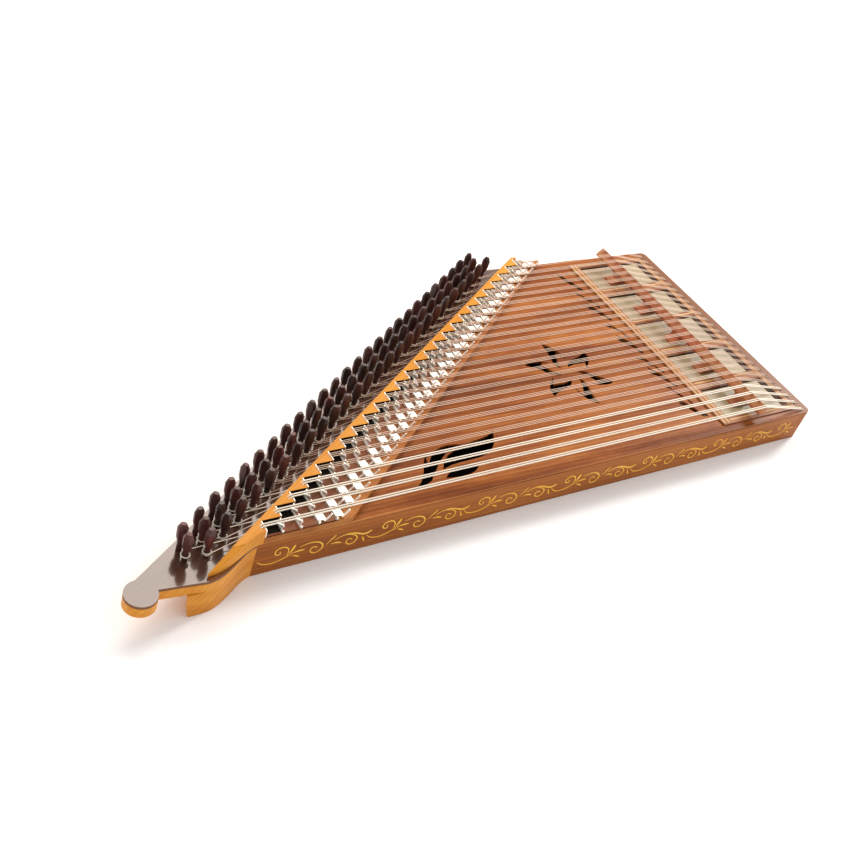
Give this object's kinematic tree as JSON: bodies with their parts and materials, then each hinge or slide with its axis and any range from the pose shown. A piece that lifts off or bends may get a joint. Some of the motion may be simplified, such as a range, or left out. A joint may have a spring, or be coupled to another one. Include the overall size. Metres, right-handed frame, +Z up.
{
  "type": "qanun",
  "caption": "Trapezoid plucked box zither with a slanting peg board, flip levers beside a stepped nut, a long bridge on skin panels and leaf-shaped sound holes.",
  "frame": {"origin": "on the resting plane, under the middle of the overall outline seen from above", "axes": "+X from the pegs to the tail along the strings, +Y from the player to the back, +Z up out of the soundboard"},
  "size_m": [0.9926, 0.4185, 0.0835],
  "materials": {
    "body_wood": "satin varnished brown wood",
    "board_wood": "varnished orange-brown wood",
    "maple": "satin varnished yellow-orange wood",
    "dark_veneer": "glossy dark brown veneer",
    "brace_wood": "bare pale wood",
    "bridge_wood": "satin reddish wood",
    "peg_wood": "polished near-black wood",
    "nickel": "nickel-plated metal",
    "skin": "thin pale skin",
    "bass_string": "white wound strings",
    "treble_string": "clear pinkish strings"
  },
  "bodies": {
    "body": {"bottom_board": "body_wood", "front_side": "body_wood", "back_side": "body_wood", "tail_block": "body_wood", "slant_rail": "maple", "end_block": "maple", "peg_board": "maple", "peg_board_veneer": "dark_veneer", "soundboard": "board_wood", "braces": "brace_wood", "lever_board": "body_wood", "nut_board": "maple", "metal_nuts": "nickel", "lever_pads": "body_wood", "lever_brackets": "nickel", "levers_raised": "nickel", "levers_lying": "nickel", "skin_frame": "board_wood", "skin": "skin", "bridge": "bridge_wood", "bridge_feet": "bridge_wood", "strings_bass": "bass_string", "strings_treble": "treble_string", "pegs_rear": "peg_wood", "pegs_middle": "peg_wood", "pegs_front": "peg_wood"},
    "lever_1_1": {"lever_1_1": "nickel"},
    "lever_1_2": {"lever_1_2": "nickel"},
    "lever_1_3": {"lever_1_3": "nickel"},
    "lever_1_4": {"lever_1_4": "nickel"},
    "lever_2_1": {"lever_2_1": "nickel"},
    "lever_2_2": {"lever_2_2": "nickel"},
    "lever_2_3": {"lever_2_3": "nickel"},
    "lever_2_4": {"lever_2_4": "nickel"},
    "lever_3_1": {"lever_3_1": "nickel"},
    "lever_3_2": {"lever_3_2": "nickel"},
    "lever_3_3": {"lever_3_3": "nickel"},
    "lever_3_4": {"lever_3_4": "nickel"},
    "lever_4_1": {"lever_4_1": "nickel"},
    "lever_4_2": {"lever_4_2": "nickel"},
    "lever_4_3": {"lever_4_3": "nickel"},
    "lever_4_4": {"lever_4_4": "nickel"},
    "peg_1_rear": {"peg_1_rear": "peg_wood"},
    "peg_1_middle": {"peg_1_middle": "peg_wood"},
    "peg_1_front": {"peg_1_front": "peg_wood"},
    "peg_2_rear": {"peg_2_rear": "peg_wood"},
    "peg_2_middle": {"peg_2_middle": "peg_wood"},
    "peg_2_front": {"peg_2_front": "peg_wood"},
    "peg_3_rear": {"peg_3_rear": "peg_wood"},
    "peg_3_middle": {"peg_3_middle": "peg_wood"},
    "peg_3_front": {"peg_3_front": "peg_wood"},
    "peg_4_rear": {"peg_4_rear": "peg_wood"},
    "peg_4_middle": {"peg_4_middle": "peg_wood"},
    "peg_4_front": {"peg_4_front": "peg_wood"}
  },
  "joints": [
    {"name": "lever_1_1_flip", "type": "hinge", "parent": "body", "child": "lever_1_1", "pos_m": [-0.32511, -0.16351, 0.05671], "axis": [0, 1, 0], "range_deg": [0, 90]},
    {"name": "lever_1_2_flip", "type": "hinge", "parent": "body", "child": "lever_1_2", "pos_m": [-0.30436, -0.16351, 0.05682], "axis": [0, 1, 0], "range_deg": [0, 90]},
    {"name": "lever_1_3_flip", "type": "hinge", "parent": "body", "child": "lever_1_3", "pos_m": [-0.2836, -0.16351, 0.05694], "axis": [0, 1, 0], "range_deg": [-90, 0]},
    {"name": "lever_1_4_flip", "type": "hinge", "parent": "body", "child": "lever_1_4", "pos_m": [-0.26285, -0.16351, 0.05705], "axis": [0, 1, 0], "range_deg": [-90, 0]},
    {"name": "lever_2_1_flip", "type": "hinge", "parent": "body", "child": "lever_2_1", "pos_m": [-0.30304, -0.14905, 0.05671], "axis": [0, 1, 0], "range_deg": [0, 90]},
    {"name": "lever_2_2_flip", "type": "hinge", "parent": "body", "child": "lever_2_2", "pos_m": [-0.28292, -0.14905, 0.05682], "axis": [0, 1, 0], "range_deg": [0, 90]},
    {"name": "lever_2_3_flip", "type": "hinge", "parent": "body", "child": "lever_2_3", "pos_m": [-0.2628, -0.14905, 0.05694], "axis": [0, 1, 0], "range_deg": [-90, 0]},
    {"name": "lever_2_4_flip", "type": "hinge", "parent": "body", "child": "lever_2_4", "pos_m": [-0.24268, -0.14905, 0.05705], "axis": [0, 1, 0], "range_deg": [-90, 0]},
    {"name": "lever_3_1_flip", "type": "hinge", "parent": "body", "child": "lever_3_1", "pos_m": [-0.28096, -0.13458, 0.05671], "axis": [0, 1, 0], "range_deg": [0, 90]},
    {"name": "lever_3_2_flip", "type": "hinge", "parent": "body", "child": "lever_3_2", "pos_m": [-0.26148, -0.13458, 0.05682], "axis": [0, 1, 0], "range_deg": [0, 90]},
    {"name": "lever_3_3_flip", "type": "hinge", "parent": "body", "child": "lever_3_3", "pos_m": [-0.242, -0.13458, 0.05694], "axis": [0, 1, 0], "range_deg": [-90, 0]},
    {"name": "lever_3_4_flip", "type": "hinge", "parent": "body", "child": "lever_3_4", "pos_m": [-0.22252, -0.13458, 0.05705], "axis": [0, 1, 0], "range_deg": [-90, 0]},
    {"name": "lever_4_1_flip", "type": "hinge", "parent": "body", "child": "lever_4_1", "pos_m": [-0.25889, -0.12011, 0.05671], "axis": [0, 1, 0], "range_deg": [0, 90]},
    {"name": "lever_4_2_flip", "type": "hinge", "parent": "body", "child": "lever_4_2", "pos_m": [-0.24004, -0.12011, 0.05682], "axis": [0, 1, 0], "range_deg": [0, 90]},
    {"name": "lever_4_3_flip", "type": "hinge", "parent": "body", "child": "lever_4_3", "pos_m": [-0.2212, -0.12011, 0.05694], "axis": [0, 1, 0], "range_deg": [-90, 0]},
    {"name": "lever_4_4_flip", "type": "hinge", "parent": "body", "child": "lever_4_4", "pos_m": [-0.20235, -0.12011, 0.05705], "axis": [0, 1, 0], "range_deg": [-90, 0]},
    {"name": "peg_1_rear_turn", "type": "hinge", "parent": "body", "child": "peg_1_rear", "pos_m": [-0.42757, -0.15375, 0.047], "axis": [0, 0, 1], "continuous": true},
    {"name": "peg_1_middle_turn", "type": "hinge", "parent": "body", "child": "peg_1_middle", "pos_m": [-0.42757, -0.16735, 0.047], "axis": [0, 0, 1], "continuous": true},
    {"name": "peg_1_front_turn", "type": "hinge", "parent": "body", "child": "peg_1_front", "pos_m": [-0.40486, -0.1674, 0.047], "axis": [0, 0, 1], "continuous": true},
    {"name": "peg_2_rear_turn", "type": "hinge", "parent": "body", "child": "peg_2_rear", "pos_m": [-0.40486, -0.1394, 0.047], "axis": [0, 0, 1], "continuous": true},
    {"name": "peg_2_middle_turn", "type": "hinge", "parent": "body", "child": "peg_2_middle", "pos_m": [-0.40486, -0.153, 0.047], "axis": [0, 0, 1], "continuous": true},
    {"name": "peg_2_front_turn", "type": "hinge", "parent": "body", "child": "peg_2_front", "pos_m": [-0.38215, -0.15305, 0.047], "axis": [0, 0, 1], "continuous": true},
    {"name": "peg_3_rear_turn", "type": "hinge", "parent": "body", "child": "peg_3_rear", "pos_m": [-0.38215, -0.12505, 0.047], "axis": [0, 0, 1], "continuous": true},
    {"name": "peg_3_middle_turn", "type": "hinge", "parent": "body", "child": "peg_3_middle", "pos_m": [-0.38215, -0.13865, 0.047], "axis": [0, 0, 1], "continuous": true},
    {"name": "peg_3_front_turn", "type": "hinge", "parent": "body", "child": "peg_3_front", "pos_m": [-0.35944, -0.1387, 0.047], "axis": [0, 0, 1], "continuous": true},
    {"name": "peg_4_rear_turn", "type": "hinge", "parent": "body", "child": "peg_4_rear", "pos_m": [-0.35944, -0.1107, 0.047], "axis": [0, 0, 1], "continuous": true},
    {"name": "peg_4_middle_turn", "type": "hinge", "parent": "body", "child": "peg_4_middle", "pos_m": [-0.35944, -0.1243, 0.047], "axis": [0, 0, 1], "continuous": true},
    {"name": "peg_4_front_turn", "type": "hinge", "parent": "body", "child": "peg_4_front", "pos_m": [-0.33673, -0.12435, 0.047], "axis": [0, 0, 1], "continuous": true}
  ]
}
